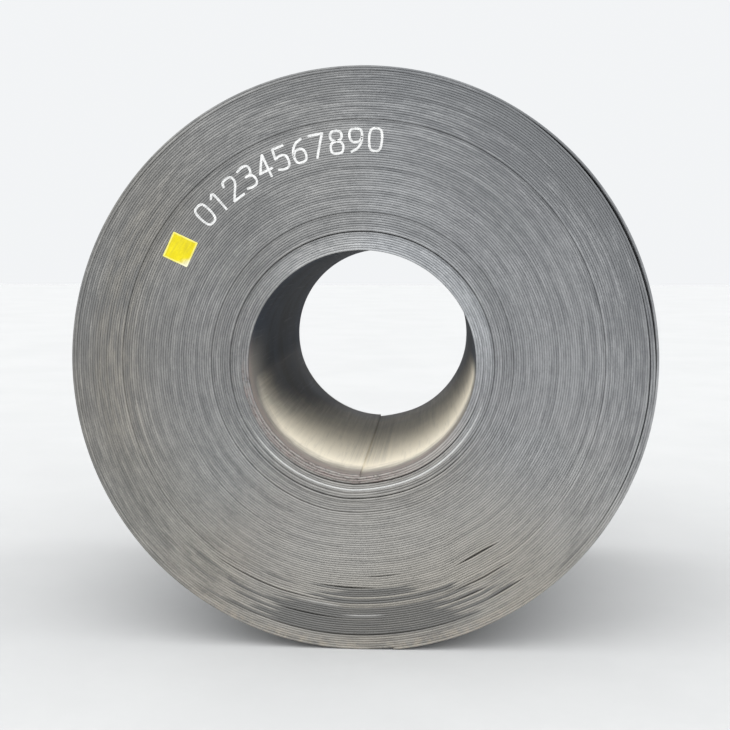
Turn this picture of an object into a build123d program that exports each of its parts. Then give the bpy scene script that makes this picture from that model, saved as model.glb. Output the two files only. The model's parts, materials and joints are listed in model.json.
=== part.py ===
from build123d import *
import os
from math import acos, atan2, cos, degrees, hypot, radians, sin

# A coil of thick hot-rolled steel strip, lying on its round side with its eye along Y.
# The marked end faces -Y. The floor is Z = 0, and X = 0 is the middle of the eye.
# Directions round the coil are degrees anticlockwise from +X, as the marked end is seen.

os.makedirs("parts", exist_ok=True)

# Strip

strip_width = 1500.0
strip_thickness = 7.75
eye_diameter = 762.0  # the mandrel that the strip was wound on

# Turns from the eye outwards, in groups that slid together: how many turns, and how many slips
# they stand towards the marked end. The strip has one width, so the far end is stepped the
# other way.
slip = 0.5
turn_groups = [
    (3, -10),
    (5, -18),
    (3, 1),
    (5, -6),
    (6, 2),
    (13, -2),
    (16, 0),
    (4, -5),
    (2, 2),
    (9, -2),
    (9, 1),
    (2, 4),
]
label_group = 6  # the broad flat group, counted from 0

# Head end of the strip, inside the eye

head_angle = -91.0
head_ramp = 18.0  # degrees over which the first turn climbs on to its own end
climb_angle = 60.0  # the same at the last turn, where the climb has spread out

# Sprung turns: from one direction clockwise to another, turns outside the gap, share of its width
sprung_gap = 8.0
sprung_turns = [(60.0, -8.0, 1, 1.0), (22.0, -40.0, 3, 0.5)]

# Steel bands round the coil

band_width = 32.0
band_thickness = 0.9
band_clearance = 0.3  # between the band and the last turn
band_spacing = 500.0
band_lap = 160.0  # length of the two layers where the band's ends cross
seal_angles = [58.0, 64.0]  # one for each band, from the marked end

# Crimped seal

seal_length = 57.0
seal_sheet = 1.0
seal_clearance = 0.25
crimp_width = 3.0
crimp_depth = 0.6
crimp_pitch = 18.0

# Blank label stuck on the marked end

label_side = 90.0
label_thickness = 0.4
label_corner = 3.0
label_angle = 147.7
label_turn = -25.0

# Worked out from the sizes above

turns = sum(count for count, _ in turn_groups)
eye_radius = eye_diameter / 2
coil_radius = eye_radius + turns * strip_thickness
past_coil = coil_radius + strip_width  # longer than anything it cuts

# Each turn climbs on to the strip's own end in one stretch, so the outside is round except there:
# from the foot of the tail's step, one thickness down, an arc runs tangent into the round part.
step_foot_radius = coil_radius - strip_thickness
climb_offset = (coil_radius**2 - step_foot_radius**2) / (
    2 * (coil_radius - step_foot_radius * cos(radians(climb_angle)))
)
climb_radius = coil_radius - climb_offset

# The strip's tail ends beside the floor: its corner is level with the lowest point of the climb,
# so the coil rests on both.
across = coil_radius - climb_offset * cos(radians(climb_angle))
aside = climb_offset * sin(radians(climb_angle))
tail_lean = degrees(acos(climb_radius / hypot(across, aside)) - atan2(aside, across))
tail_angle = tail_lean - 90
climb_end = tail_angle - climb_angle


def towards(angle, distance=1.0):
    return Vector(distance * cos(radians(angle)), distance * sin(radians(angle)))


climb_centre = towards(climb_end, climb_offset)
step_foot = towards(tail_angle, step_foot_radius) - climb_centre
climb_start = degrees(atan2(step_foot.Y, step_foot.X))
axis_height = climb_radius - climb_centre.Y + band_clearance + band_thickness

end_plane = Plane(origin=(0, 0, axis_height), x_dir=(1, 0, 0), z_dir=(0, -1, 0))
profile_plane = Plane(origin=(0, 0, axis_height), x_dir=(1, 0, 0), z_dir=(0, 0, 1))
coil_axis = Axis((0, 0, axis_height), (0, 1, 0))

# The outside's two stretches, clockwise from the tail: centre, radius, first and last direction
stretches = [
    (climb_centre, climb_radius, climb_start, climb_end),
    (Vector(0, 0), coil_radius, climb_end, tail_angle - 360),
]


def unwound(angle):
    """The same direction, as a clockwise distance from the tail."""
    return angle - 360 if angle > tail_angle else angle


def beside_last_turn(first, last, rise):
    """Arcs at one height over the last turn's outside, clockwise from one direction to another."""
    arcs = []
    for centre, radius, start, end in stretches:
        start = min(first, start)
        end = max(last, end)
        if start > end:
            arcs.append(CenterArc(centre, radius + rise, start, end - start))
    return arcs


def closed_outline(first, last, rise):
    """Arcs beside the last turn, with a straight line back from their end to their start."""
    arcs = beside_last_turn(first, last, rise)
    Line(arcs[-1] @ 1, arcs[0] @ 0)


def over_last_turn(angle, rise):
    """The point at one height over the last turn, in one direction."""
    centre, radius, _, _ = stretches[0 if unwound(angle) > climb_end else 1]
    return centre + towards(angle, radius + rise)


# Profile of the wound strip: out along the marked end, group by group, and back along the far end
marked_end = []
far_end = []
radius = eye_radius
for count, slips in turn_groups:
    outside = radius + count * strip_thickness
    shift = slips * slip
    marked_end += [(radius, -strip_width / 2 - shift), (outside, -strip_width / 2 - shift)]
    far_end += [(radius, strip_width / 2 - shift), (outside, strip_width / 2 - shift)]
    radius = outside

with BuildPart() as coil:
    with BuildSketch(profile_plane):
        with BuildLine():
            Polyline(*marked_end, *reversed(far_end), close=True)
        make_face()
    revolve(axis=coil_axis)

    # The last turn and its tail
    with BuildSketch(end_plane):
        with BuildLine():
            closed_outline(climb_start, tail_angle - 360, 0)
        make_face()
    extrude(amount=past_coil, both=True, mode=Mode.INTERSECT)

    # The wedge of air in the eye where the first turn climbs on to the strip's head end
    with BuildSketch(end_plane):
        with BuildLine():
            below_step = towards(head_angle, eye_radius - strip_thickness)
            step_top = towards(head_angle, eye_radius + strip_thickness)
            halfway = towards(head_angle + head_ramp / 2, eye_radius + strip_thickness / 4)
            ramp_end = towards(head_angle + head_ramp, eye_radius)
            inside_eye = towards(head_angle + head_ramp, eye_radius - strip_thickness)
            Line(below_step, step_top)
            ThreePointArc(step_top, halfway, ramp_end)
            Polyline(ramp_end, inside_eye, below_step)
        make_face()
    extrude(amount=past_coil, both=True, mode=Mode.SUBTRACT)

    # Gaps where the outer turns have sprung away from those inside them
    with BuildSketch(end_plane):
        for first, last, outside_turns, share in sprung_turns:
            under = -outside_turns * strip_thickness
            with BuildLine():
                arcs = beside_last_turn(unwound(first), unwound(last), under)
                middle = over_last_turn((first + last) / 2, under - share * sprung_gap)
                ThreePointArc(arcs[-1] @ 1, middle, arcs[0] @ 0)
            make_face()
    extrude(amount=past_coil, both=True, mode=Mode.SUBTRACT)
coil.part.label = "coil"
export_step(coil.part, "parts/coil.step")

# Bands: pulled tight round the last turn, and straight along the floor past the tail's step
band_top = band_clearance + band_thickness
lap_top = band_top + band_thickness
lap_turn = degrees(band_lap / coil_radius)

for number, seal_angle in enumerate(seal_angles, start=1):
    band_place = ((len(seal_angles) + 1) / 2 - number) * band_spacing
    band_plane = end_plane.offset(band_place)

    with BuildPart() as strap:
        with BuildSketch(band_plane):
            with BuildLine():
                closed_outline(-90, tail_angle - 360, band_top)
            make_face()
            with BuildLine():
                closed_outline(-90, tail_angle - 360, band_clearance)
            make_face(mode=Mode.SUBTRACT)
            with BuildLine():
                first = unwound(seal_angle) + lap_turn / 2
                outer = beside_last_turn(first, first - lap_turn, lap_top)
                inner = beside_last_turn(first, first - lap_turn, band_top - band_thickness / 2)
                Line(outer[0] @ 0, inner[0] @ 0)
                Line(outer[-1] @ 1, inner[-1] @ 1)
            make_face()
        extrude(amount=band_width / 2, both=True)
    strap.part.label = f"strap_{number}"
    export_step(strap.part, f"parts/strap_{number}.step")

    # Seal: a channel over the lapped band, with its legs crimped into the band's edges
    seat = over_last_turn(seal_angle, lap_top + seal_clearance / 2)
    seat_on_coil = end_plane.from_local_coords((seat.X, seat.Y, band_place))
    along = end_plane.from_local_coords(towards(seal_angle - 90)) - end_plane.origin
    seal_plane = Plane(origin=seat_on_coil, x_dir=(0, 1, 0), z_dir=along)
    channel_half = band_width / 2 + seal_clearance
    leg_drop = 2 * band_thickness + seal_clearance / 2
    seal_half = channel_half + seal_sheet

    with BuildPart() as seal:
        with BuildSketch(seal_plane):
            with BuildLine():
                Polyline(
                    (channel_half, -leg_drop),
                    (channel_half, 0),
                    (-channel_half, 0),
                    (-channel_half, -leg_drop),
                    (-seal_half, -leg_drop),
                    (-seal_half, seal_sheet),
                    (seal_half, seal_sheet),
                    (seal_half, -leg_drop),
                    close=True,
                )
            make_face()
        extrude(amount=seal_length / 2, both=True)

        crimp_depth_plane = Plane(
            origin=seal_plane.origin, x_dir=seal_plane.z_dir, z_dir=seal_plane.y_dir
        )
        with BuildSketch(crimp_depth_plane.offset(-leg_drop)):
            with GridLocations(crimp_pitch, 2 * seal_half, 2, 2):
                Rectangle(crimp_width, 2 * crimp_depth)
        extrude(amount=leg_drop + seal_sheet, mode=Mode.SUBTRACT)
    seal.part.label = f"seal_{number}"
    export_step(seal.part, f"parts/seal_{number}.step")

# Label: flat on the broad group of turns
label_inside = eye_radius + strip_thickness * sum(count for count, _ in turn_groups[:label_group])
label_turns, label_slips = turn_groups[label_group]
label_radius = label_inside + label_turns * strip_thickness / 2

with BuildPart() as label:
    with BuildSketch(end_plane.offset(strip_width / 2 + label_slips * slip)):
        with Locations(towards(label_angle, label_radius)):
            RectangleRounded(label_side, label_side, label_corner, rotation=label_turn)
    extrude(amount=label_thickness)
label.part.label = "label"
export_step(label.part, "parts/label.step")
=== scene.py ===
import json
import math
import bpy
import numpy as np
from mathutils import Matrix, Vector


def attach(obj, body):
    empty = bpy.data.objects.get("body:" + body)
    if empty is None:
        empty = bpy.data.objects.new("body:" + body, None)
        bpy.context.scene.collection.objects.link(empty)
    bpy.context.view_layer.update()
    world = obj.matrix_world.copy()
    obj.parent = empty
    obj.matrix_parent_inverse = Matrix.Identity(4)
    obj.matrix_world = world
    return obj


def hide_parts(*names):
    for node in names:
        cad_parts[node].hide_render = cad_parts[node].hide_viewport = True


# A coil of thick hot-rolled steel strip on its round side, its eye along Y and its marked end at -Y.
# Directions round the coil are degrees anticlockwise from +X, as the marked end is seen. The strip
# winds outwards clockwise from its head, and "travel" is how many degrees it has wound since then.

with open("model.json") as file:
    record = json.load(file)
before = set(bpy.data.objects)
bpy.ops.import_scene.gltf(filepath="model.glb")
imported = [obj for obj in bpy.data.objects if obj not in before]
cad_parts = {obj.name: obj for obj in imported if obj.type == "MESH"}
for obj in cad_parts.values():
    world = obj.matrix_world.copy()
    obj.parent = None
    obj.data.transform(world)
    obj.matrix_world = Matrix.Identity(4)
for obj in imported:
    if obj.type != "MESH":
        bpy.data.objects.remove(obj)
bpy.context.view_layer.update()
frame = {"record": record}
eyeMount = next(m for m in frame["record"]["mounts"] if m["name"] == "eye")
axisHeight = eyeMount["pos_m"][2]
eyeRadius = eyeMount["dims"]["r_mm"] / 1000
chance = np.random.default_rng(762)


def cosine(degrees):
    # the cosine of an angle given in degrees
    return np.cos(np.radians(degrees))


def sine(degrees):
    # the sine of an angle given in degrees
    return np.sin(np.radians(degrees))


def aboutAxis(direction, radius):
    # a point's X and Z, from its direction and distance round the eye's axis
    return np.stack([radius * cosine(direction), axisHeight + radius * sine(direction)], -1)


def onEnd(direction, radius, y):
    # the same point at a place along Y
    across = aboutAxis(direction, radius)
    return np.stack(np.broadcast_arrays(across[..., 0], y, across[..., 1]), -1)


def smoothStep(low, high, value):
    # 0 up to low, 1 from high, and an S between them
    x = np.clip((value - low) / (high - low), 0, 1)
    return x * x * (3 - 2 * x)


def lengthAlong(path):
    # how far along a path each of its points lies: the running sum of its steps' lengths
    return np.concatenate([[0], np.cumsum(np.linalg.norm(np.diff(path, axis=0), axis=1))])


def valuesAt(steps, gone, values):
    # two values for each point of a path, read at other distances along it
    return np.stack([np.interp(steps, gone, values[:, n]) for n in (0, 1)], 1)


def gridFaces(rows, columns, closed=False):
    # the four-sided faces of a grid of points; where it is closed, its last column joins its first
    start = np.arange(rows - 1)[:, None] * columns
    column = np.arange(columns if closed else columns - 1)[None, :]
    onward = (column + 1) % columns
    corners = [start + column, start + onward, start + columns + onward, start + columns + column]
    return np.stack(corners, -1).reshape(-1, 4)


def ownPoints(points, faces):
    # only the points that some faces use, and those faces' numbers among them
    used, numbers = np.unique(np.concatenate([f.ravel() for f in faces]), return_inverse=True)
    sizes = np.cumsum([f.size for f in faces])[:-1]
    return points[used], [n.reshape(f.shape) for n, f in zip(np.split(numbers, sizes), faces)]


def makePiece(name, points, faces, finish, slot, corners=None, flat=None, replaces=()):
    # faces is a list of arrays, one for each number of corners; corners holds each face corner's UV,
    # and flat the numbers of the faces that aren't shaded smooth
    mesh = bpy.data.meshes.new(name)
    points = points.reshape(-1, 3)
    counts = np.concatenate([np.full(len(f), f.shape[1]) for f in faces])
    mesh.vertices.add(len(points))
    mesh.vertices.foreach_set("co", points.astype(np.float32).ravel())
    mesh.loops.add(int(counts.sum()))
    mesh.loops.foreach_set("vertex_index", np.concatenate([f.ravel() for f in faces]).astype(np.int32))
    mesh.polygons.add(len(counts))
    mesh.polygons.foreach_set("loop_start", (np.cumsum(counts) - counts).astype(np.int32))
    smooth = np.ones(len(counts), bool)
    if flat is not None:
        smooth[flat] = False
    mesh.polygons.foreach_set("use_smooth", smooth)
    mesh.update(calc_edges=True)
    if corners is not None:
        mesh.uv_layers.new(name="strip").data.foreach_set("uv", corners.astype(np.float32).ravel())
    mesh.validate()
    mesh.materials.append(finish.material)
    piece = bpy.data.objects.new(name, mesh)
    bpy.context.scene.collection.objects.link(piece)
    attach(piece, "root")
    if replaces:
        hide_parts(*replaces)


class Value:
    # A node's output. Sums on it add Math nodes to its finish.
    def __init__(self, finish, node, output):
        self.finish, self.node, self.socket = finish, node, node.outputs[output]

    def __add__(self, other):
        return self.finish.maths("ADD", self, other)

    def __radd__(self, other):
        return self.finish.maths("ADD", other, self)

    def __sub__(self, other):
        return self.finish.maths("SUBTRACT", self, other)

    def __rsub__(self, other):
        return self.finish.maths("SUBTRACT", other, self)

    def __mul__(self, other):
        return self.finish.maths("MULTIPLY", self, other)

    def __rmul__(self, other):
        return self.finish.maths("MULTIPLY", other, self)

    def __truediv__(self, other):
        return self.finish.maths("DIVIDE", self, other)

    def __abs__(self):
        return self.finish.maths("ABSOLUTE", self)


class Finish:
    # One procedural material, or the sky, whose colours are named in a dictionary. node() adds a node,
    # its settings before its sockets.
    def __init__(self, look, owner=None):
        self.look = look
        self.material = owner or bpy.data.materials.new(look["name"])
        self.material.use_nodes = True
        self.tree = self.material.node_tree
        self.tree.nodes.clear()

    def node(self, kind, settings=None, sockets=None, output=0):
        made = self.tree.nodes.new(kind)
        for key, value in (settings or {}).items():
            setattr(made, key, value)
        for key, value in (sockets or {}).items():
            socket = made.inputs[key]
            if isinstance(value, Value):
                self.tree.links.new(value.socket, socket)
            elif socket.type == "RGBA":
                socket.default_value = (*value[:3], 1)
            else:
                socket.default_value = value
        return Value(self, made, output)

    def maths(self, operation, *values):
        return self.node("ShaderNodeMath", {"operation": operation}, dict(enumerate(values)))

    def vectors(self, operation, *values, output=0):
        return self.node("ShaderNodeVectorMath", {"operation": operation}, dict(enumerate(values)), output)

    def parts(self, vector):
        split = self.node("ShaderNodeSeparateXYZ", {}, {0: vector})
        return [Value(self, split.node, axis) for axis in "XYZ"]

    def mixed(self, factor, first, second, blend="MIX"):
        settings = {"data_type": "RGBA", "blend_type": blend, "clamp_factor": True}
        return self.node("ShaderNodeMix", settings, {0: factor, 6: first, 7: second}, 2)

    def noise(self, scale, detail=2.0, rough=0.5, vector=None):
        # over the place unless a vector is given; the scale is three numbers where the pattern is stretched
        vector = vector or self.place
        if isinstance(scale, tuple):
            vector, scale = self.vectors("MULTIPLY", vector, scale), 1.0
        sockets = {"Vector": vector, "Scale": scale, "Detail": detail, "Roughness": rough}
        return self.node("ShaderNodeTexNoise", {"noise_dimensions": "3D"}, sockets)

    def noiseAlong(self, length, scale, detail=2.0, rough=0.5):
        sockets = {"W": length, "Scale": scale, "Detail": detail, "Roughness": rough}
        return self.node("ShaderNodeTexNoise", {"noise_dimensions": "1D"}, sockets)

    def lots(self, number):
        # three random numbers, each from 0 to 1, for each whole number
        noise = self.node("ShaderNodeTexWhiteNoise", {"noise_dimensions": "1D"}, {"W": number}, "Color")
        return self.parts(noise)

    def between(self, value, low, high, first=0.0, last=1.0):
        # first up to low, last from high, and an S between them
        settings = {"interpolation_type": "SMOOTHSTEP", "clamp": True}
        sockets = {"Value": value, "From Min": low, "From Max": high, "To Min": first, "To Max": last}
        return self.node("ShaderNodeMapRange", settings, sockets)

    def bump(self, height, distance, strength=1.0, under=None):
        sockets = {"Height": height, "Distance": distance, "Strength": strength}
        if under is not None:
            sockets["Normal"] = under
        return self.node("ShaderNodeBump", {}, sockets)

    def ground(self, share, first, second):
        # the tint to paint on: the first colour, with a growing share more of the second
        self.tint = self.mixed(share, self.look[first], self.look[second])

    def paint(self, share, colour, blend="MIX"):
        # lays a share of a colour over the tint so far, or of the tint times the colour
        self.tint = self.mixed(share, self.tint, self.look[colour], blend)

    def surface(self, **sockets):
        named = {key.replace("_", " "): value for key, value in sockets.items()}
        named["Base Color"] = self.tint
        shader = self.node("ShaderNodeBsdfPrincipled", {}, named)
        made = self.tree.nodes.new("ShaderNodeOutputMaterial")
        self.tree.links.new(shader.socket, made.inputs["Surface"])
        return self

    def locate(self):
        # where a point lies: its place, its distance from the eye's axis, and the way out from there as
        # a vector of length 1
        self.place = self.node("ShaderNodeTexCoord", output="Object")
        flat = self.vectors("MULTIPLY", self.vectors("SUBTRACT", self.place, (0, 0, axisHeight)), (1, 0, 1))
        self.distance = self.vectors("LENGTH", flat, output="Value")
        self.heading = self.vectors("NORMALIZE", flat)

    def ring(self, low, high, first=0.0, last=1.0):
        # first up to one distance from the axis, last from another, and an S between them
        return self.between(self.distance, low, high, first, last)

    def sector(self, direction, half, soft):
        # 1 within half degrees of a direction, falling to 0 over soft more
        facing = (cosine(direction), 0, sine(direction))
        nearness = self.vectors("DOT_PRODUCT", self.heading, facing, output="Value")
        return self.between(nearness, cosine(min(half + soft, 180)), cosine(half))

    def drawnOut(self, across, pitch, pace, detail, rough):
        # noise drawn out along the turns: pitch is its width in metres, and pace its speed round the eye
        outwards = self.node("ShaderNodeCombineXYZ", {}, {"Y": across / pitch})
        around = self.vectors("MULTIPLY", self.heading, (pace, pace, pace))
        return self.noise(1.0, detail, rough, self.vectors("ADD", around, outwards))


strip = {
    "width": 1.5,
    "thickness": 0.00775,
    "slip": 0.0005,
    # turns that slid together, from the eye outwards: how many, and slips towards the marked end
    "groups": [
        (3, -10), (5, -18), (3, 1), (5, -6), (6, 2), (13, -2),
        (16, 0), (4, -5), (2, 2), (9, -2), (9, 1), (2, 4),
    ],
    "quietGroup": 6,  # lies flattest, under the label and the digits
    "head": -91.0,
    "headRamp": 18.0,
    "tail": -83.537,  # where the tail's corner is as low as the outside's lowest point
    "tailClimb": 60.0,
    "samples": 480,  # in each lap
    "corner": (0.0008, 0.001),  # rounding of the strip's edges, across the turns and along the coil
    "groove": 0.012,  # how deep the grooves between turns are modelled
    "gapDepth": 40,  # how much deeper they are under a gap, in widths of the gap
    "unevenness": 0.00055,  # how far a turn may stand off from its group
    "waver": 0.8,  # share of it that comes and goes along the strip
    "waverPaces": [0.61, 1.37, 2.83, 4.19],  # waves in each lap
    "looseness": (0.0001, 0.00022, 0.00048),  # between neighbours' corners: least, middling and most
    "loosePaces": [0.37, 0.83, 1.71, 3.3],
    # shares of these that are left in the quiet group, and in the groups outside it
    "quietUnevenness": 0.25,
    "quietWaver": 0.3,
    "outwardUnevenness": 0.6,
    "outwardLooseness": 0.4,
    # places where turns stand apart: lap outside the gap, from one direction clockwise to another, width
    "gaps": [
        (76, 60, -8, 0.008), (74, 22, -40, 0.004), (75, 160, 96, 0.0008), (71, 298, 238, 0.0035),
        (57, 262, 232, 0.0045), (50, 274, 259, 0.005), (48, 308, 295, 0.0065), (44, 281, 271, 0.003),
        (58, 308, 292, 0.005), (62, 300, 291, 0.004), (67, 308, 298, 0.004), (64, 266, 250, 0.004),
        (51, 196, 118, 0.0008), (53, 172, 108, 0.0005), (57, 204, 128, 0.0007), (61, 186, 112, 0.0009),
        (3, 350, 205, 0.0042), (10, 338, 200, 0.0035), (8, 150, 20, 0.0022), (16, 300, 200, 0.0015),
        (1, 262, 198, 0.0016), (2, 300, 215, 0.0012), (32, 255, 190, 0.001),
    ],
    "spread": 24,  # turns inside a gap that share its room
}
groupTurns, groupSlips = np.array(strip["groups"]).T
turns = int(groupTurns.sum())
groupOf = np.repeat(np.arange(len(groupTurns)), groupTurns)
coilRadius = eyeRadius + turns * strip["thickness"]
halfWidth = strip["width"] / 2
lap = strip["samples"]

# samples, with one exactly at the head's direction and one at the tail's
headToTail = (strip["head"] - strip["tail"]) % 360
toTail = round(lap * headToTail / 360)
oneLap = np.concatenate(
    [np.linspace(0, headToTail, toTail + 1)[:-1], np.linspace(headToTail, 360, lap - toTail + 1)[:-1]]
)
travel = (360 * np.arange(turns)[:, None] + oneLap).ravel()[: (turns - 1) * lap + toTail + 1]
count = len(travel)

# the outside's climb: an arc of a smaller circle, from one thickness down into the round part
footRadius = coilRadius - strip["thickness"]
twice = 2 * (coilRadius - footRadius * cosine(strip["tailClimb"]))
climbOffset = (coilRadius**2 - footRadius**2) / twice
climbRadius = coilRadius - climbOffset


def outsideClimb(share):
    # how far up its one thickness the climb has come, at a share of its way: distance to an offset circle
    turned = np.radians(strip["tailClimb"] * (1 - share))
    edge = climbOffset * np.cos(turned) + np.sqrt(climbRadius**2 - (climbOffset * np.sin(turned)) ** 2)
    return (edge - footRadius) / strip["thickness"]


def layers(travelled):
    # Turns under the strip, first with straight climbs and then with round ones. It climbs one layer
    # each lap where it passes its own end: over a short ramp at the head, and over a longer one further
    # on in each lap after it.
    climb = np.arange(turns - 1)
    later = climb / (turns - 2)
    starts = 360 * (climb + 1) - strip["headRamp"] + later * (strip["headRamp"] + headToTail - 360)
    ends = 360 * (climb + 1) + later * (headToTail - 360 + strip["tailClimb"])
    places = np.stack([starts, ends], 1).ravel()
    raw = np.interp(travelled, places, np.stack([climb, climb + 1], 1).ravel())
    whole = np.minimum(np.floor(raw), turns - 2)
    share = raw - whole
    late = whole / (turns - 2)
    return raw, whole + (1 - late) * share**2 + late * outsideClimb(share)


def gapUnder(travelled):
    # width of the gap inside the strip: a lens, widest at its middle, for each of the listed places
    width = np.zeros_like(travelled)
    for number, first, last, widest in strip["gaps"]:
        middle = 360 * number + (strip["head"] - (first + last) / 2) % 360
        width += widest * np.clip(1 - ((travelled - middle) / ((first - last) / 2)) ** 2, 0, 1)
    return width


def waver(travelled, paces):
    # a smooth seeded variation along the strip from -1 to 1: the mean of a few sines
    phases = chance.uniform(0, 2 * np.pi, len(paces))
    waves = sum(np.sin(travelled / 360 * pace * 2 * np.pi + p) for pace, p in zip(paces, phases))
    return waves / len(paces)


rawLayers, turnsUnder = layers(travel)
turnNow = np.floor(rawLayers) + smoothStep(0, 1, rawLayers % 1)


def alongStrip(values):
    # one value for each turn, read along the strip as it passes from turn to turn
    return np.interp(turnNow, np.arange(turns), values)


# a gap pushes in the turns inside it, each a little less than the one outside it
squeeze = sum(gapUnder(travel + 360 * n) * (1 - n / strip["spread"]) for n in range(1, strip["spread"]))
inner = eyeRadius + strip["thickness"] * turnsUnder - squeeze
beneath = gapUnder(travel)
outer = eyeRadius + strip["thickness"] * (turnsUnder + 1)
outer[: count - lap] = inner[lap:] - beneath[lap:]

# how far the strip stands towards the marked end: its group's slips, and a little for each turn
quiet, outward = groupOf == strip["quietGroup"], groupOf > strip["quietGroup"]
slips = groupSlips[groupOf] * strip["slip"]
own = chance.uniform(-1, 1, turns) * strip["unevenness"]
own[quiet] *= strip["quietUnevenness"]
own[outward] *= strip["outwardUnevenness"]
shift = waver(travel, strip["waverPaces"]) * alongStrip(np.where(quiet, strip["quietWaver"], 1.0))
towardsMark = alongStrip(slips + own) + shift * strip["unevenness"] * strip["waver"]
towardsMark = np.clip(towardsMark, slips.min(), slips.max())
markedEdge = -halfWidth - towardsMark

# how far apart neighbours' corners are, which is nothing in the first lap: the sum of a variation along
# the strip and one from turn to turn is read as a looseness
loose = waver(travel, strip["loosePaces"])
loose += chance.uniform(-0.6, 0.6, turns)[np.minimum(turnNow.astype(int), turns - 1)]
loose = np.interp(loose, [-1.2, 0.2, 1.4], strip["looseness"])
loose *= alongStrip(np.where(outward, strip["outwardLooseness"], 1.0))
loose[:lap] = 0
print("stage: strip wound")


def turnEnds(side):
    # The strip's edge at one end (-1 is the marked one). Across it lie the bottom of the groove inside
    # it, two rounded corners, and the next groove's bottom, which is the first point one lap on.
    edge = side * halfWidth - towardsMark
    below = edge.copy()
    below[lap:] = side * np.minimum(side * edge[lap:], side * edge[:-lap])
    pit = strip["groove"] + strip["gapDepth"] * beneath
    bottoms = np.concatenate([below - side * pit, edge[-lap:] - side * strip["groove"]])
    radii = np.concatenate([inner - beneath / 2, outer[-lap:]])
    longTravel = np.concatenate([travel, travel[-lap:] + 360])
    grooves = onEnd(strip["head"] - longTravel, radii, bottoms)

    looseOut = np.append(loose[lap:], np.zeros(lap))
    inset, sunk = strip["corner"]
    across = [
        (inner + loose / 2, edge - side * sunk),
        (inner + loose / 2 + inset, edge),
        (outer - looseOut / 2 - inset, edge),
        (outer - looseOut / 2, edge - side * sunk),
    ]
    lips = np.stack([onEnd(strip["head"] - travel, r, y) for r, y in across], 1)
    points = np.concatenate([grooves, lips.reshape(-1, 3)])

    sample = np.arange(count)
    ids = np.stack([sample, *(len(grooves) + sample * 4 + n for n in range(4)), sample + lap], 1)
    faces = np.stack([ids[:-1, :-1], ids[:-1, 1:], ids[1:, 1:], ids[1:, :-1]], -1)
    acrossUv = np.array([0, 0.1, 0.26, 0.74, 0.9, 1])  # from groove to groove
    uv = np.stack(np.broadcast_arrays(travel[:, None] / 360, acrossUv[None, :]), -1)
    corners = np.stack([uv[:-1, :-1], uv[:-1, 1:], uv[1:, 1:], uv[1:, :-1]], 2)
    if side < 0:
        faces, corners = faces[..., ::-1], corners[..., ::-1, :]
    headCap, tailCap = (ids[0], uv[0]), (ids[-1][::-1], uv[-1][::-1])
    if side > 0:
        headCap, tailCap = [(cap[::-1], at[::-1]) for cap, at in (headCap, tailCap)]
    return points, faces, corners, headCap, tailCap, grooves


edges = {
    "name": "strip_edges",
    "dark": (0.095, 0.098, 0.102),
    "light": (0.211, 0.214, 0.217),
    # paler and darker patches, some of them painted light and shade: direction, half width and soft edge in
    # degrees, how much is added, and the distances from the axis where the patch starts, is full, is full
    # still and ends
    "patches": [
        # painted light: the lower part of the end paler, as if lit more there
        (-85, 45, 60, 0.17, ()),
        (96, 14, 30, 0.12, ()),
        (168, 45, 45, -0.19, ()),
        # painted shade: the right side darker, as if lit from the left
        (5, 60, 50, -0.075, ()),
        (180, 25, 35, -0.07, (0.78, 0.9)),
        (-52, 12, 24, 0.1, (0.73, 0.79)),
        # painted shadow: the upper right rim darkened where a coil above would shade it
        (58, 28, 36, -0.3, (0.8, 0.95)),
        (60, 12, 24, -0.13, (0.6, 0.7)),
        (198, 22, 20, -0.06, (0.6, 0.66)),
        (284, 20, 28, 0.12, (0.49, 0.55, 0.78, 0.83)),
        (347, 12, 20, -0.14, (0.82, 0.86, 0.932, 0.944)),
    ],
    "dusty": (1.0, 0.945, 0.85),  # multiplies the left and lower parts
    "clean": (1.5, 1.51, 1.52),  # multiplies the turns next to the eye
    "scuffedTurn": 6.0,  # counted from 0 at the eye
    "scuffed": (0.44, 0.44, 0.43),
    "powder": (0.29, 0.26, 0.235),
    "mauve": (0.17, 0.13, 0.12),
    "fleck": (0.05, 0.035, 0.03),
    "wet": (0.062, 0.062, 0.06),
    "dried": (0.31, 0.305, 0.295),
    "mud": (0.2, 0.175, 0.14),
    "rust": (0.17, 0.115, 0.08),
    "khaki": (0.2, 0.178, 0.14),
    "dirt": (0.02, 0.02, 0.021),
    "farShare": 0.45,  # how strong the marks are on the far end
}


def edgeGreys(f, wound, slow, grain, broad, fineStreaks, streaks):
    # The turns' greys: noises along the strip, grain, streaks and patches, some of them painted light and
    # shade, added up to one tone.
    quick = f.noiseAlong(wound, 11, 3, 0.6)
    speckle = f.noise(110, 3, 0.6)
    tone = (slow - 0.5) * 0.6 + (quick - 0.5) * 0.3 + (grain - 0.5) * 0.7 + (fineStreaks - 0.5) * 0.7 + 0.5
    tone = tone + (streaks - 0.5) * f.ring(0.72, 0.82, 0.9, 1.5)
    tone = tone + (speckle - 0.5) * 0.5 + (broad - 0.5) * 0.3
    for direction, half, soft, added, limits in edges["patches"]:
        patch = f.sector(direction, half, soft) * added
        if limits:
            patch = patch * f.ring(*limits[:2])
        if limits[2:]:
            patch = patch * f.ring(*limits[2:], 1, 0)
        tone = tone + patch
    f.ground(f.between(tone, 0, 1), "dark", "light")

    left = f.sector(232, 60, 70) * f.between(broad, 0.3, 0.65, 0.6, 1) * f.ring(0.55, 0.88, 0.4, 1)
    f.paint(left, "dusty", "MULTIPLY")
    low = f.sector(276, 28, 32) * 0.5 + f.sector(120, 14, 26) * 0.35
    f.paint(low, "dusty", "MULTIPLY")


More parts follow.
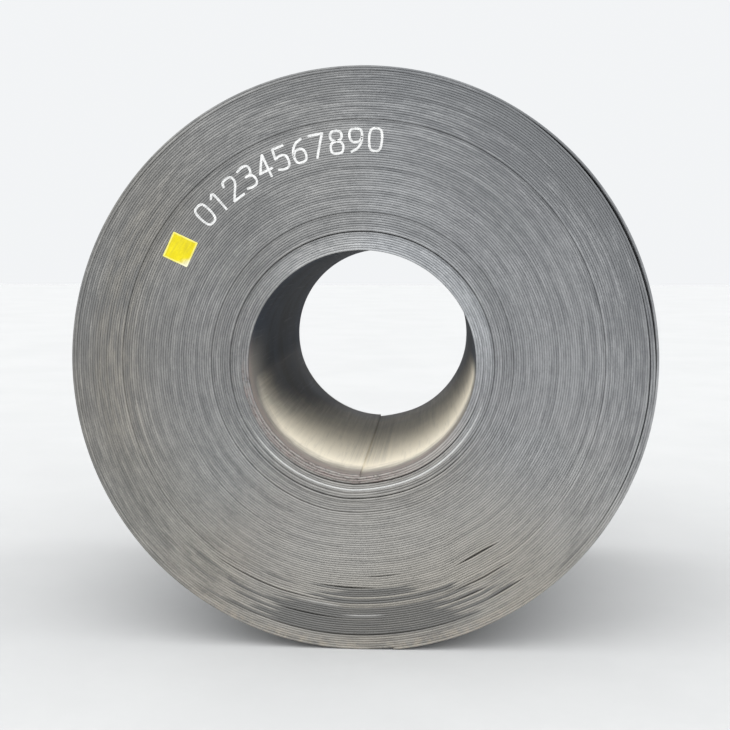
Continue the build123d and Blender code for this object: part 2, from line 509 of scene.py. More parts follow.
def besideEye(f, number, grain, marked):
    # The turns next to the eye: cleaner above, scuffed on one turn and dusty on the first three below,
    # and at the lip mauve streaks with dark flecks, some drawn out and some round.
    clean = f.ring(0.436, 0.444, 1, 0) * (f.sector(70, 50, 40) * 0.9 + 0.1)
    f.paint(clean, "clean", "MULTIPLY")
    scuffed = f.between(abs(number - edges["scuffedTurn"]), 0.3, 0.7, 1, 0)
    scuffed = scuffed * f.sector(-85, 40, 35) * f.between(grain, 0.35, 0.6, 0.6, 1) * marked
    f.paint(scuffed * 0.8, "scuffed")
    powdered = f.ring(0.399, 0.404, 1, 0) * f.sector(-95, 50, 30)
    f.paint(powdered * 0.3, "powder")

    lip = f.ring(0.402, 0.406, 1, 0) * f.sector(236, 40, 26) * marked
    mauve = f.drawnOut(f.distance, 0.005, 10, 4, 0.65)
    f.paint(lip * f.between(mauve, 0.44, 0.58) * 0.6, "mauve")
    drawnFlecks = f.drawnOut(f.distance, 0.006, 18, 5, 0.7)
    roundFlecks = f.noise(85, 4, 0.7)
    flecks = f.maths("MAXIMUM", f.between(drawnFlecks, 0.54, 0.62), f.between(roundFlecks, 0.57, 0.66))
    f.paint(lip * flecks * 0.7, "fleck")


def dampStain(f, lots, fineStreaks, marked):
    # A damp stain low down: each turn is wet over its own stretch, and some stay dry. Outside it some
    # turns have a short wet mark, and inside it some have a pale dried one.
    firstLot, secondLot, thirdLot = lots
    side, _, up = f.parts(f.heading)
    angle = f.maths("ARCTAN2", side, up * -1)  # from the lowest point, in radians
    leftEnd = f.ring(0.75, 0.87, -0.1, -0.42) - (firstLot - 0.4) * 0.26
    rightEnd = f.ring(0.75, 0.84, 0.12, 0.44) + (secondLot - 0.45) * 0.34
    wet = f.between(angle - leftEnd, -0.03, 0.03) * f.between(rightEnd - angle, -0.03, 0.03)
    wet = wet * f.ring(0.755, 0.768) * f.ring(0.92, 0.935, 1, 0.12)
    wet = wet * f.between(thirdLot + f.distance * 2, 1.7, 1.76, 0.1, 1)
    stray = f.between(abs(angle - (firstLot - 0.45) * 1.7), 0.04, 0.12, 1, 0)
    stray = stray * f.between(thirdLot, 0.7, 0.74) * f.ring(0.74, 0.76)
    wet = f.maths("MAXIMUM", wet, stray * 0.7) * f.between(fineStreaks, 0.25, 0.6, 0.75, 1) * marked
    f.paint(wet * 0.86, "wet")
    dried = f.between(abs(angle - (secondLot - 0.6) * 0.7), 0.03, 0.1, 1, 0)
    dried = dried * f.ring(0.81, 0.83) * f.ring(0.86, 0.88, 1, 0)
    dried = dried * f.between(firstLot, 0.6, 0.64) * marked
    f.paint(dried * 0.55, "dried")
    return wet


def edgeFinish():
    # Each turn has its own grey, which changes slowly along the strip, with marks over it, mud and rust
    # towards the rim, and dirt with painted shade in the grooves.
    f = Finish(edges)
    f.locate()
    wound, across, _ = f.parts(f.node("ShaderNodeUVMap", {"uv_map": "strip"}))
    y = f.parts(f.place)[1]
    slow = f.noiseAlong(wound, 1.6, 2)
    grain = f.noise(420, 3, 0.65)
    broad = f.noise(2.2, 3)
    fineStreaks = f.drawnOut(f.distance, 0.004, 2.5, 3, 0.6)
    streaks = f.drawnOut(f.distance, 0.012, 10, 4, 0.6)
    marked = f.between(y, -0.1, 0.1, 1, edges["farShare"])
    number = f.maths("FLOOR", wound + 0.5)  # of the turn, which changes at the top
    lots = f.lots(number + f.between(y, -0.1, 0.1, 0, 100))  # others for the far end

    edgeGreys(f, wound, slow, grain, broad, fineStreaks, streaks)
    besideEye(f, number, grain, marked)
    wet = dampStain(f, lots, fineStreaks, marked)
    mud = f.sector(-90, 24, 20) * f.ring(0.93, 0.965)
    mud = mud * f.between(f.noise(40, 5, 0.65), 0.4, 0.62)
    f.paint(mud * 0.6, "mud")
    spots = f.between(f.noise(60, 5, 0.7), 0.62, 0.74)
    rusty = spots * f.between(broad, 0.45, 0.65) * f.ring(0.86, 0.97, 0.12, 0.45)
    f.paint(rusty, "rust")
    khaki = f.ring(0.7, 0.82) * f.ring(0.88, 0.94, 1, 0)
    khaki = khaki * f.sector(172, 14, 26) * f.between(streaks, 0.3, 0.7) * marked
    f.paint(khaki * 0.25, "khaki")
    # dirt and painted shade: the grooves between turns darkened, more so nearer the eye
    inGroove = f.between(f.maths("MINIMUM", across, 1 - across), 0.02, 0.13, 1, 0)
    f.paint(inGroove * f.ring(0.7, 0.8, 0.5, 0.25), "dirt")

    rough = 0.52 + (grain - 0.5) * 0.25 + (slow - 0.5) * 0.15 - wet * 0.12 + rusty * 0.25
    marks = f.bump(f.noise(230, 4, 0.7), 0.0005, 0.7)
    return f.surface(Roughness=rough, Metallic=0.35 - rusty * 0.3 - mud * 0.3, Normal=marks)


edgeScale = edgeFinish()
rims = {}
for side, endName in ((-1, "marked"), (1, "far")):
    points, faces, corners, headCap, tailCap, rims[side] = turnEnds(side)
    split = count // 2
    for part, first, last, cap in (("inner", 0, split, headCap), ("outer", split, count, tailCap)):
        quads = faces[first:last].reshape(-1, 4)
        ownPlaces, ownFaces = ownPoints(points, [quads, cap[0][None, :]])
        ownCorners = np.concatenate([corners[first:last].reshape(-1, 2), cap[1]])
        replaced = ("coil",) if (side, part) == (-1, "outer") else ()
        makePiece(
            f"turn_ends_{endName}_{part}", ownPlaces, ownFaces, edgeScale, "strip", ownCorners,
            flat=[len(quads)], replaces=replaced,
        )
print("stage: turns on both ends")


eye = {
    "name": "eye_scale",
    "lip": 0.005,  # depths are counted from here, inside the marked end
    "scale": (0.011, 0.014, 0.022),
    "bluish": (0.022, 0.03, 0.046),
    "rub": (0.15, 0.15, 0.16),
    "film": (0.93, 0.855, 0.7),  # pale dry film in the lower half, with painted light from the front
    "mauve": (0.25, 0.205, 0.19),
    "rust": (0.15, 0.09, 0.065),
}


def eyeFilmAndLight(f, depth, cloud, rubs, fromLip):
    # The pale film, with painted light: it lies below a soft line across the eye, deepest at the bottom,
    # fades further in as light from the front would, and thins towards the lip. It is fanned out at the
    # bottom and worn along the eye, and a thin veil of it, also painted light, goes further up.
    lower, lowest = f.sector(-88, 64, 30), f.sector(-76, 20, 78)
    ragged = (rubs - 0.5) * 0.24 + (cloud - 0.5) * 0.2
    film = f.between(depth + ragged - lowest * 1.05, -0.65, 0.6, 1, 0.05)
    film = film * f.between(lower + ragged * 0.3, 0.04, 0.5) * (fromLip * 0.82 + 0.18)
    fanned = f.noise((26, 26, 26), 4, 0.6, f.heading)
    fanned = f.between(fanned, 0.38, 0.7) * f.sector(-90, 3, 14) * f.between(depth, 0.1, 0.4)
    worn = f.noise((70, 3, 70), 4, 0.65)
    film = film * (1 - fanned * 0.24) * f.between(worn, 0.3, 0.5, 0.9, 1)
    veil = f.sector(-95, 78, 26) * f.between(depth + (cloud - 0.5) * 0.1, 0, 0.6, 0.18, 0)
    return f.maths("MAXIMUM", film, veil)


def eyeFinish():
    # Blue-grey scale with rub marks along the eye, a pale film with painted light in its lower front, and
    # at the lip, where the film is thin, a mauve-brown tint with darker rust in small patches.
    f = Finish(eye)
    f.locate()
    depth = f.parts(f.place)[1] + (halfWidth - eye["lip"])
    cloud = f.noise(5, 4, 0.6)
    fine = f.noise(300, 4, 0.7)
    rubs = f.noise((90, 2.2, 90), 3, 0.6)
    f.ground(f.between(cloud + (fine - 0.5) * 0.3, 0.3, 0.7), "scale", "bluish")
    f.paint(f.between(rubs, 0.56, 0.76) * 0.22, "rub")

    drawnRound = f.drawnOut(depth, 0.03, 5, 4, 0.6)
    fromLip = f.between(depth + (drawnRound - 0.5) * 0.12, 0.04, 0.23)
    film = eyeFilmAndLight(f, depth, cloud, rubs, fromLip)
    # pale film and painted light: the front's light falling in on the lower half of the eye
    f.paint(film, "film")
    lip = f.sector(-105, 62, 36) * f.between(depth, 0.03, 0.14, 1, 0) * (1 - fromLip * 0.8)
    f.paint(lip * f.between(drawnRound, 0.35, 0.6, 0.25, 0.65), "mauve")
    rusty = f.between(f.noise(70, 5, 0.7), 0.56, 0.68) * lip
    f.paint(rusty * 0.5, "rust")

    rough = 0.62 + (fine - 0.5) * 0.25 + film * 0.1 + lip * 0.1
    waves = f.noise((7, 2, 7), 2)
    marks = f.bump(waves, 0.004, 0.5, f.bump(fine, 0.0004, 0.6))
    return f.surface(Roughness=rough, Normal=marks, Specular_IOR_Level=0.04)


outside = {
    "name": "rolled_face",
    "scale": (0.036, 0.041, 0.051),
    "bluish": (0.074, 0.083, 0.103),
    "worn": (0.2, 0.207, 0.222),
    "rust": (0.15, 0.07, 0.034),
    "dust": (0.22, 0.2, 0.165),
    "runs": (0.13, 0.135, 0.14),  # dried water marks
}


def outsideFinish():
    # Dark mill scale, cooler and paler in bands round the coil, worn near both edges, on hairlines and
    # on blisters, with dried runs, scrapes along the coil, and rust and dust that grow low down.
    f = Finish(outside)
    f.locate()
    _, y, z = f.parts(f.place)
    toEdge = halfWidth - abs(y)
    cloud = f.noise(3.2, 5, 0.62)
    fine = f.noise(260, 4, 0.7)
    rolled = f.drawnOut(y, 0.018, 3, 4, 0.62)
    tone = f.between(cloud * 0.5 + rolled * 0.5 + (fine - 0.5) * 0.25, 0.32, 0.68)
    f.ground(tone, "scale", "bluish")

    hairlines = f.drawnOut(y, 0.0022, 5, 2, 0.6)
    blisters = f.between(f.noise(34, 5, 0.65), 0.6, 0.7) * f.between(cloud, 0.45, 0.6)
    worn = f.between(toEdge + (rolled - 0.5) * 0.1, 0.005, 0.07, 1, 0) * 0.55
    worn = f.maths("MAXIMUM", worn, f.between(hairlines, 0.66, 0.76) * 0.45)
    worn = f.maths("MAXIMUM", worn, blisters * 0.35)
    f.paint(worn, "worn")
    runs = f.between(f.drawnOut(y, 0.022, 1.1, 3, 0.6), 0.56, 0.66)
    runs = runs * f.between(cloud, 0.4, 0.55) * f.between(z, 0.25, 0.7)
    f.paint(runs * 0.35, "runs")
    scrapes = f.noise((46, 3.2, 46), 4, 0.65)
    scrapes = f.between(scrapes, 0.66, 0.74) * f.between(f.noise(2.6, 2), 0.5, 0.62)
    f.paint(scrapes * 0.5, "worn")

    spots = f.between(f.noise(48, 6, 0.72), 0.58, 0.72)
    rusty = spots * f.between(f.noise(4.6, 3), 0.42, 0.6) * f.between(z, 0, 1.9, 0.95, 0.35)
    f.paint(rusty, "rust")
    dust = f.between(z, 0.02, 0.3, 1, 0) * f.between(f.noise(16, 5, 0.6), 0.4, 0.62)
    f.paint(dust * 0.55, "dust")

    rough = 0.36 + (fine - 0.5) * 0.28 + (cloud - 0.5) * 0.3 + rusty * 0.35 + dust * 0.3 + runs * 0.14
    marks = f.bump(rolled, 0.0012, 0.4, f.bump(fine, 0.0003, 0.5))
    metal = 0.5 - rusty * 0.45 - dust * 0.4
    return f.surface(Roughness=rough, Metallic=metal, Normal=marks)


wall = {"rows": 42}


def wallBetween(name, first, last, outwards, finish):
    # straight lines along Y from one end's grooves to the other's, closed round by the strip's end face
    share = (0.5 - 0.5 * np.cos(np.linspace(0, np.pi, wall["rows"])))[:, None, None]
    points = first + (last - first) * share
    faces = gridFaces(wall["rows"], len(first), closed=True)
    around = np.arange(len(first)) / lap
    uv = np.stack(np.broadcast_arrays(around[None, :], points[..., 1]), -1).reshape(-1, 2)
    stepFaces = np.arange(wall["rows"] - 1) * len(first) + len(first) - 1
    if not outwards:
        faces = faces[:, ::-1]
    makePiece(name, points, [faces], finish, "strip", uv[faces.ravel()], flat=stepFaces)


# the eye is the first lap's inside, and the coil's outside is the last lap's
wallBetween("eye_wall", rims[-1][: lap + 1], rims[1][: lap + 1], False, eyeFinish())
wallBetween("outer_wall", rims[-1][count - 1 :], rims[1][count - 1 :], True, outsideFinish())
print("stage: eye and outside")


def plainFinish(look):
    # A finish of two tones in drawn-out clouds, with grain and, if given, rust in spots.
    f = Finish(look)
    scale, metal = look["scale"], look["metal"]
    f.place = f.node("ShaderNodeTexCoord", output="Object")
    cloud = f.noise(tuple(scale * way for way in look["stretch"]), 5, 0.65)
    grain = f.noise(scale * 24, 3, 0.7)
    f.ground(f.between(cloud + (grain - 0.5) * 0.4, 0.3, 0.7), "dark", "light")
    if "rust" in look:
        rusty = f.between(f.noise(scale * 3, 6, 0.7), 0.6, 0.7)
        f.paint(rusty * 0.8, "rust")
        metal = metal - rusty * metal
    rough = look["rough"] + (grain - 0.5) * 0.3 + (cloud - 0.5) * 0.2
    return f.surface(Roughness=rough, Metallic=metal, Normal=f.bump(grain, look["depth"], 0.6))


band = {
    "width": 0.032,
    "thickness": 0.0009,
    "clearance": 0.0003,
    "places": [-0.25, 0.25],
    "sealDirections": [58.0, 64.0],
    "lapLength": 0.16,
    "rampLength": 0.03,
    "lift": 1.02,  # of the upper layer over the lower one, in thicknesses
    "roundness": 0.0003,
    "samples": 720,
    "finish": {
        "name": "blued_band", "dark": (0.012, 0.015, 0.023), "light": (0.04, 0.046, 0.062),
        "rough": 0.28, "metal": 0.6, "scale": 22.0, "stretch": (1, 8, 1), "depth": 0.0001,
        "rust": (0.17, 0.08, 0.035),
    },
}
sideways = climbOffset * cosine(strip["tail"] - strip["tailClimb"])
lowestDirection = -90 + math.degrees(math.asin(sideways / climbRadius))


def overLastTurn(direction, rise):
    # radius at one height over the coil's outside, and straight along the floor past the tail's step
    wound = 360 * turns - 360 + (strip["head"] - direction) % 360
    wound = np.where(wound > travel[-1], wound - 360, wound)
    radius = eyeRadius + strip["thickness"] * (layers(wound)[1] + 1) + rise
    past = (strip["tail"] - direction) % 360
    level = axisHeight - band["clearance"] - band["thickness"] + rise
    flat = past < (strip["tail"] - lowestDirection) % 360
    return np.where(flat, level / np.abs(sine(direction)), radius)


def carried(profile, centres, outward, y):
    # a closed profile of (across, out) points carried along a path that lies in an upright plane
    across, out = profile.T
    x, z = (centres[:, None, n] + outward[:, None, n] * out for n in (0, 1))
    return np.stack(np.broadcast_arrays(x, y + across, z), -1)


def roundedBar(width, height, corner):
    # a rectangle with each corner as three points of a quarter circle, as (across, out) points
    angles = np.array([-90, -45, 0, 0, 45, 90, 90, 135, 180, 180, 225, 270])
    reach = [width / 2 - corner, height / 2 - corner]
    middles = np.repeat([[1, -1], [1, 1], [-1, 1], [-1, -1]], 3, 0) * reach
    return middles + corner * np.stack([cosine(angles), sine(angles)], 1)


def bandPath(sealDirection):
    # once round clockwise from before the seal, then up on to its own start and over it
    lapTurn = math.degrees(band["lapLength"] / coilRadius)
    rampTurn = math.degrees(band["rampLength"] / coilRadius)
    turned = np.linspace(0, 360 + lapTurn, band["samples"])
    direction = sealDirection + lapTurn / 2 - turned
    rise = band["clearance"] + band["thickness"] / 2
    rise = rise + band["thickness"] * band["lift"] * smoothStep(360 - rampTurn, 360, turned)
    centres = aboutAxis(direction, overLastTurn(direction, rise))
    onward = np.gradient(centres, axis=0)
    onward /= np.linalg.norm(onward, axis=1, keepdims=True)
    return centres, np.stack([-onward[:, 1], onward[:, 0]], 1)


bandFinish = plainFinish(band["finish"])
bandBar = roundedBar(band["width"], band["thickness"], band["roundness"])
for number, (y, sealDirection) in enumerate(zip(band["places"], band["sealDirections"]), 1):
    points = carried(bandBar, *bandPath(sealDirection), y)
    rows, columns, _ = points.shape
    ends = np.stack([np.arange(columns)[::-1], np.arange(columns) + (rows - 1) * columns])
    faces = [gridFaces(rows, columns, closed=True), ends]
    makePiece(f"band_{number}", points, faces, bandFinish, "band", replaces=(f"strap_{number}",))
print("stage: bands")


seal = {
    "length": 0.057,
    "sheet": 0.001,
    "clearance": 0.00015,
    "legs": 0.0019,
    "bend": [(0.0003, 0.0007), (0.001, 0.001)],  # of the outside: in from the leg, and up
    "crimps": (-0.009, 0.009),
    "crimpWidth": 0.0022,
    "crimpZone": 0.002,  # how near to the band's edges the legs are pinched
    "pinch": 0.0012,
    "dent": 0.00035,
    "samples": 72,
    "finish": {
        "name": "crimped_seal", "dark": (0.15, 0.15, 0.155), "light": (0.27, 0.27, 0.275),
        "rough": 0.42, "metal": 0.75, "scale": 30.0, "stretch": (1, 3, 1), "depth": 0.0001,
        "rust": (0.2, 0.1, 0.05),
    },
}


def sealProfile():
    # a channel with its legs down: its outside from leg to leg, then its inside back again
    half = band["width"] / 2 + seal["clearance"] + seal["sheet"]
    outer = [(-half, -seal["legs"]), (-half, 0), *((aside - half, up) for aside, up in seal["bend"])]
    outer += [(-half / 3, seal["sheet"])]
    outer = np.array(outer + [(-x, y) for x, y in outer[::-1]])
    inner = outer[::-1] * [1 - seal["sheet"] / half, 1]
    inner[:, 1] = np.maximum(inner[:, 1] - seal["sheet"], -seal["legs"])
    return np.concatenate([outer, inner])


def crimpedSeal(sealDirection, y):
    # The channel carried along the lapped band. At each crimp a bell curve along it pinches the legs
    # and dents the back.
    along = np.linspace(-0.5, 0.5, seal["samples"]) * seal["length"]
    direction = sealDirection - np.degrees(along / coilRadius)
    lapTop = band["clearance"] + (1 + band["lift"]) * band["thickness"] + seal["clearance"]
    outward = np.stack([cosine(direction), sine(direction)], 1)
    points = carried(sealProfile(), aboutAxis(direction, overLastTurn(direction, lapTop)), outward, y)
    pressed = sum(np.exp(-(((along - at) / seal["crimpWidth"]) ** 2)) for at in seal["crimps"])[:, None]
    side = points[..., 1] - y
    onLeg = np.abs(side) > band["width"] / 2 - seal["crimpZone"]
    points[..., 1] -= np.sign(side) * onLeg * pressed * seal["pinch"]
    dent = ~onLeg * pressed * seal["dent"]
    points[..., 0] -= outward[:, :1] * dent
    points[..., 2] -= outward[:, 1:] * dent
    columns = points.shape[1]
    half = np.arange(columns // 2 - 1)
    lid = np.stack([half, half + 1, columns - 2 - half, columns - 1 - half], 1)
    ends = np.concatenate([lid[:, ::-1], lid + (seal["samples"] - 1) * columns])
    return points, np.concatenate([gridFaces(seal["samples"], columns, closed=True), ends])


sealFinish = plainFinish(seal["finish"])
for number, (y, sealDirection) in enumerate(zip(band["places"], band["sealDirections"]), 1):
    points, faces = crimpedSeal(sealDirection, y)
    makePiece(
        f"crimped_seal_{number}", points, [faces], sealFinish, "seal",
        flat=np.arange(len(faces)), replaces=(f"seal_{number}",),
    )
print("stage: seals")


def onTurns(direction, radius):
    # at a place on the marked end away from the climbs: the turn's edge along Y, and the share of the
    # way across the turn
    across = (radius - eyeRadius) / strip["thickness"]
    number = np.floor(across)
    wound = 360 * number + (strip["head"] - direction) % 360
    return np.interp(wound, travel, markedEdge), across - number


label = {
    "name": "yellow_label",
    "side": 0.09,
    "corner": 0.003,
    "direction": 147.7,
    "turned": -25.0,
    "thickness": 0.00025,
    "standsOff": 0.00012,
    "dip": 0.00006,  # into each groove beneath
    "curl": 0.0011,  # of the paler corner
    "curlFrom": (0.7, 1.02),  # difference of the UVs where the curl starts, and where it is full
    "around": 176,
    "rings": 34,
    "dark": (0.445, 0.37, 0.002),
    "light": (0.505, 0.43, 0.006),
    "margin": (0.56, 0.54, 0.22),
    "faded": (0.52, 0.51, 0.4),
    "grime": (0.28, 0.22, 0.02),
}
# over the middle of the quiet group
turnsInside = groupTurns[: strip["quietGroup"]].sum() + groupTurns[strip["quietGroup"]] / 2
labelRadius = eyeRadius + turnsInside * strip["thickness"]


def labelFinish():
    # Bright coated paper with a paler margin, whitish towards one corner, with grime along the turns
    # beneath.
    f = Finish(label)
    f.locate()
    u, v, _ = f.parts(f.node("ShaderNodeUVMap", {"uv_map": "strip"}))
    cloud = f.noise(45, 4, 0.6)
    fibre = f.noise(1500, 3, 0.7)
    f.ground(f.between(cloud + (fibre - 0.5) * 0.3, 0.3, 0.7), "dark", "light")
    rim = f.maths("MAXIMUM", abs(u - 0.5), abs(v - 0.5))
    margin = f.between(rim + (cloud - 0.5) * 0.03, 0.43, 0.455)
    f.paint(margin * 0.5, "margin")
    # whitish towards the curled corner
    faded = f.between(u - v + (cloud - 0.5) * 0.4, 0.5, 0.85)
    f.paint(faded * 0.85, "faded")
    grime = f.drawnOut(f.distance, 0.009, 9, 3, 0.6)
    f.paint(f.between(grime, 0.46, 0.62) * (1 - margin) * 0.3, "grime")
    rough = 0.55 + (fibre - 0.5) * 0.3 + margin * 0.1
    marks = f.bump(fibre, 0.0001, 0.4)
    return f.surface(Roughness=rough, Normal=marks, Specular_IOR_Level=0.15)


def onLabel(x, z):
    # the label's back over the turns: the mean of the lowest edges in five windows of nearby radii, so
    # that it bridges the set-back turns, with a small dip at each groove
    direction, radius = np.degrees(np.arctan2(z, x)), np.hypot(x, z)
    reach = np.linspace(-1.2, 1.2, 9) * strip["thickness"]
    heights = np.stack([onTurns(direction, radius + r)[0] for r in reach])
    bridged = np.stack([heights[i : i + 5].min(0) for i in range(5)]).mean(0)
    return bridged - label["standsOff"] + label["dip"] * np.cos(2 * np.pi * onTurns(direction, radius)[1])


def labelSheet():
    # Copies of one rounded square, growing over the front and shrinking again over the back, turned into
    # place and laid on the turns, with a fan of faces at both middles. UVs run from 0 to 1 both ways.
    outline = roundedBar(label["side"], label["side"], label["corner"])
    outline = np.concatenate([outline, outline[:1]])
    gone = lengthAlong(outline)
    outline = valuesAt(np.linspace(0, gone[-1], label["around"], endpoint=False), gone, outline)
    share = np.linspace(0, 1, label["rings"])[1:]
    local = outline * np.concatenate([share, share[::-1]])[:, None, None]
    u, v = (local[..., n] / label["side"] + 0.5 for n in (0, 1))
    c, s = cosine(label["turned"]), sine(label["turned"])
    centre = labelRadius * np.array([cosine(label["direction"]), sine(label["direction"])])
    x, z = np.moveaxis(local @ np.array([[c, s], [-s, c]]) + centre, -1, 0)
    y = onLabel(x, z) - label["curl"] * smoothStep(*label["curlFrom"], u - v) ** 2
    y[: len(share)] -= label["thickness"]
    points = np.stack([x, y, axisHeight + z], -1)

    rings, around = len(points), np.arange(label["around"])
    faces = gridFaces(rings, label["around"], closed=True)[:, ::-1]
    onward = (around + 1) % label["around"]
    last = (rings - 1) * label["around"]
    frontMiddle = np.full_like(around, rings * label["around"])
    fans = np.concatenate([
        np.stack([frontMiddle, around, onward], 1),
        np.stack([frontMiddle + 1, last + onward, last + around], 1),
    ])
    uv = np.concatenate([np.stack([u, v], -1).reshape(-1, 2), [[0.5, 0.5], [0.5, 0.5]]])
    points = np.concatenate([points.reshape(-1, 3), points[[0, -1]].mean(1)])
    return points, [faces, fans], np.concatenate([uv[faces.ravel()], uv[fans.ravel()]])


points, faces, corners = labelSheet()
makePiece("yellow_label", points, faces, labelFinish(), "label", corners, replaces=("label",))
print("stage: label")


digits = {
    "text": "01234567890",
    "height": 0.075,
    "width": 0.078,  # of a square cell, whose first 60 hundredths the strokes below fill
    "stroke": 0.0082,
    "ragged": (0.86, 1.08),  # shares of the stroke's width
    "baseRadii": (0.68, 0.703),  # under the first digit and the last
    "directions": (136.2, 86.4),
    "step": 0.0011,
    "proud": 0.00012,
    "sinkFrom": 0.12,  # how near to a groove the paint starts to sink in, as a share of the turn
    "sinkSlope": 0.4,
    "layer": 0.00003,  # how far a later stroke of a digit lies over the one before
    "missing": 0.02,  # share of the faces left out as flaked
    "finish": {
        "name": "white_paint", "dark": (0.36, 0.36, 0.355), "light": (0.56, 0.56, 0.55),
        "rough": 0.75, "metal": 0.0, "scale": 60.0, "stretch": (1, 1, 1), "depth": 0.0002,
    },
}
# plain plotted digits: each stroke's corners in a cell 60 wide and 100 high
strokes = {
    "0": [[(30, 100), (10, 96), (3, 70), (3, 30), (10, 4), (30, 0),
           (50, 4), (57, 30), (57, 70), (50, 96), (30, 100)]],
    "1": [[(12, 78), (34, 100), (34, 0)]],
    "2": [[(4, 78), (10, 97), (30, 100), (52, 97), (57, 74), (50, 55), (4, 0)], [(4, 0), (58, 0)]],
    "3": [[(5, 93), (28, 100), (53, 95), (55, 70), (45, 54), (24, 53)],
          [(24, 53), (50, 51), (60, 26), (52, 3), (28, 0), (4, 7)]],
    "4": [[(44, 0), (44, 100)], [(44, 100), (3, 30)], [(3, 30), (60, 30)]],
    "5": [[(54, 100), (10, 100)], [(10, 100), (7, 56)],
          [(7, 56), (30, 64), (54, 58), (60, 30), (53, 4), (28, 0), (4, 8)]],
    "6": [[(50, 99), (24, 88), (6, 60), (3, 30), (8, 4), (30, 0), (52, 4),
           (58, 30), (50, 56), (30, 60), (12, 54), (4, 36)]],
    "7": [[(3, 100), (58, 100)], [(58, 100), (20, 0)]],
    "8": [[(30, 54), (10, 60), (5, 78), (12, 97), (30, 100), (48, 97), (55, 78),
           (50, 60), (30, 54), (7, 48), (1, 25), (8, 3), (30, 0), (52, 3),
           (59, 25), (53, 48), (30, 54)]],
    "9": [[(10, 1), (36, 12), (54, 40), (57, 70), (52, 96), (30, 100), (8, 96),
           (2, 70), (10, 44), (30, 40), (48, 46), (56, 64)]],
}


def rounded(path):
    # a path with each corner cut at its quarters, twice, which leaves a smooth curve
    for _ in range(2):
        quarters = np.stack([path[:-1] * 0.75 + path[1:] * 0.25, path[:-1] * 0.25 + path[1:] * 0.75], 1)
        path = np.concatenate([path[:1], quarters.reshape(-1, 2), path[-1:]])
    return path


def paintedStroke(corners, direction, base, lift):
    # a ribbon along the stroke with round ends and a ragged edge, laid on the turns it crosses and
    # sunk a little into the grooves between them
    path = (rounded(np.array(corners) / 100) - [0.3, 0]) * [digits["width"], digits["height"]]
    gone = lengthAlong(path)
    half = digits["stroke"] / 2
    steps = np.arange(-half, gone[-1] + half, digits["step"])
    middle = valuesAt(steps, gone, path)
    onward = valuesAt(steps, gone, np.gradient(path, axis=0))
    onward /= np.linalg.norm(onward, axis=1, keepdims=True)
    overrun = steps - np.clip(steps, 0, gone[-1])
    middle += onward * overrun[:, None]
    width = np.sqrt(np.clip(half**2 - overrun**2, 0, None)) * chance.uniform(*digits["ragged"], len(steps))
    across = np.linspace(-1, 1, 8)
    sideways = np.stack([-onward[:, 1], onward[:, 0]], 1)
    spots = middle[:, None] + sideways[:, None] * (across[None, :] * width[:, None])[..., None]
    radius = base + spots[..., 1]
    heading = direction - np.degrees(spots[..., 0] / (base + digits["height"] / 2))
    edge, share = onTurns(heading, radius)
    past = np.clip(digits["sinkFrom"] - np.minimum(share, 1 - share), 0, None) * strip["thickness"]
    points = onEnd(heading, radius, edge - digits["proud"] - lift + past * digits["sinkSlope"])
    faces = gridFaces(*share.shape)
    return points.reshape(-1, 3), faces[chance.random(len(faces)) > digits["missing"]]


def paintedDigits():
    # every stroke of every digit, along an arc whose radius changes evenly from the first to the last
    allPoints, allFaces, used = [], [], 0
    directions = np.linspace(*digits["directions"], len(digits["text"]))
    bases = np.linspace(*digits["baseRadii"], len(digits["text"]))
    for digit, direction, base in zip(digits["text"], directions, bases):
        for order, corners in enumerate(strokes[digit]):
            points, faces = paintedStroke(corners, direction, base, order * digits["layer"])
            allPoints.append(points)
            allFaces.append(faces + used)
            used += len(points)
    return ownPoints(np.concatenate(allPoints), [np.concatenate(allFaces)])


makePiece("painted_digits", *paintedDigits(), plainFinish(digits["finish"]), None)
print("stage: digits")


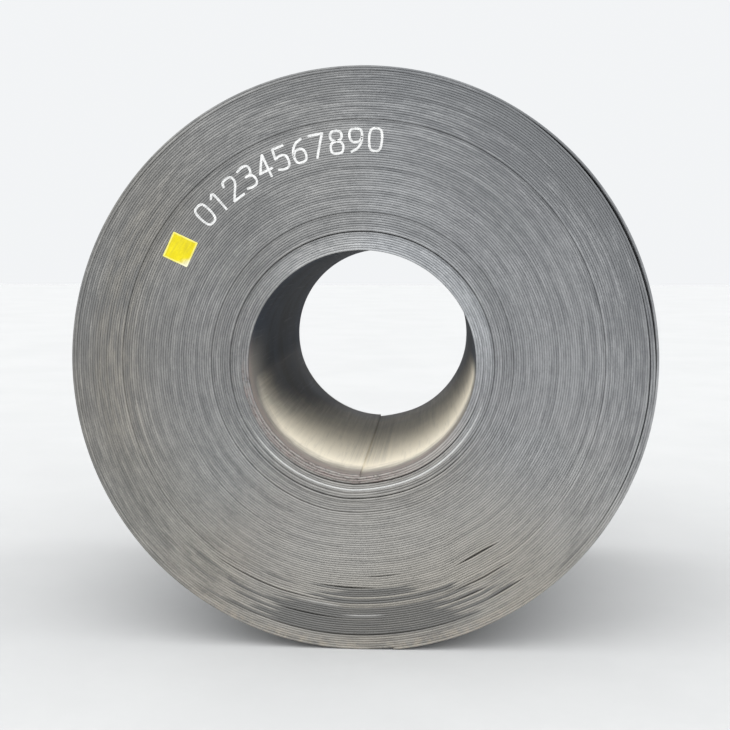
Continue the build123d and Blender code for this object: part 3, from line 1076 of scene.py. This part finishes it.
floorPlate = {
    "half": 40.0,
    "finish": {
        "name": "pale_floor", "dark": (0.37, 0.37, 0.368), "light": (0.39, 0.39, 0.387),
        "rough": 0.85, "metal": 0.0, "scale": 0.9, "stretch": (1, 1, 1), "depth": 0.0001,
    },
}
floorMesh = bpy.data.meshes.new("floor")
floorMesh.from_pydata(
    [(x * floorPlate["half"], y * floorPlate["half"], 0) for x, y in ((-1, -1), (1, -1), (1, 1), (-1, 1))],
    [], [(0, 1, 2, 3)],
)
floorMesh.materials.append(plainFinish(floorPlate["finish"]).material)
floor = bpy.data.objects.new("floor", floorMesh)
bpy.context.scene.collection.objects.link(floor)


def aimed(thing, at, towards):
    # puts a camera or a light at a place, looking towards another
    bpy.context.scene.collection.objects.link(thing)
    thing.location = at
    looking = Vector(towards) - Vector(at)
    thing.rotation_euler = looking.to_track_quat("-Z", "Y").to_euler()


view = {
    "from": (0.257, -4.745, 1.36),
    "towards": (0.012, -0.75, 0.972),
    "fieldOfView": 33.6,
    "sensor": 36,
}
camera = bpy.data.objects.new("camera", bpy.data.cameras.new("camera"))
camera.data.sensor_width = view["sensor"]
camera.data.lens = view["sensor"] / 2 / math.tan(math.radians(view["fieldOfView"] / 2))
aimed(camera, view["from"], view["towards"])
bpy.context.scene.camera = camera

light = {
    "sky": (0.97, 0.985, 1.0),
    "front": 2.7,  # brightness of the sky in front of the coil and over it
    "behind": 0.8,
    "backdrop": 0.92,  # what the camera sees of the sky
    "from": (-1.2, -6.5, 6.5),
    "power": 0.7,
    "tint": (1.0, 0.99, 0.975),
    "softness": 60.0,  # degrees of sky that the lamp fills
}
sky = Finish(light, bpy.data.worlds.new("soft_sky"))
bpy.context.scene.world = sky.material
backwards = sky.parts(sky.node("ShaderNodeTexCoord", output="Generated"))[1]
spread = sky.between(backwards, 0.1, 0.7, light["front"], light["behind"])
seen = sky.node("ShaderNodeLightPath", output="Is Camera Ray")
strength = sky.node("ShaderNodeMix", {"data_type": "FLOAT"}, {0: seen, 2: spread, 3: light["backdrop"]})
glow = sky.node("ShaderNodeBackground", {}, {"Color": light["sky"], "Strength": strength})
sky.tree.links.new(glow.socket, sky.tree.nodes.new("ShaderNodeOutputWorld").inputs["Surface"])
lamp = bpy.data.lights.new("soft_light", "SUN")
lamp.energy, lamp.color, lamp.angle = light["power"], light["tint"], math.radians(light["softness"])
aimed(bpy.data.objects.new("soft_light", lamp), light["from"], (0, 0, 0))
bpy.context.scene.view_settings.view_transform = "Standard"
print("stage: floor, camera and light")
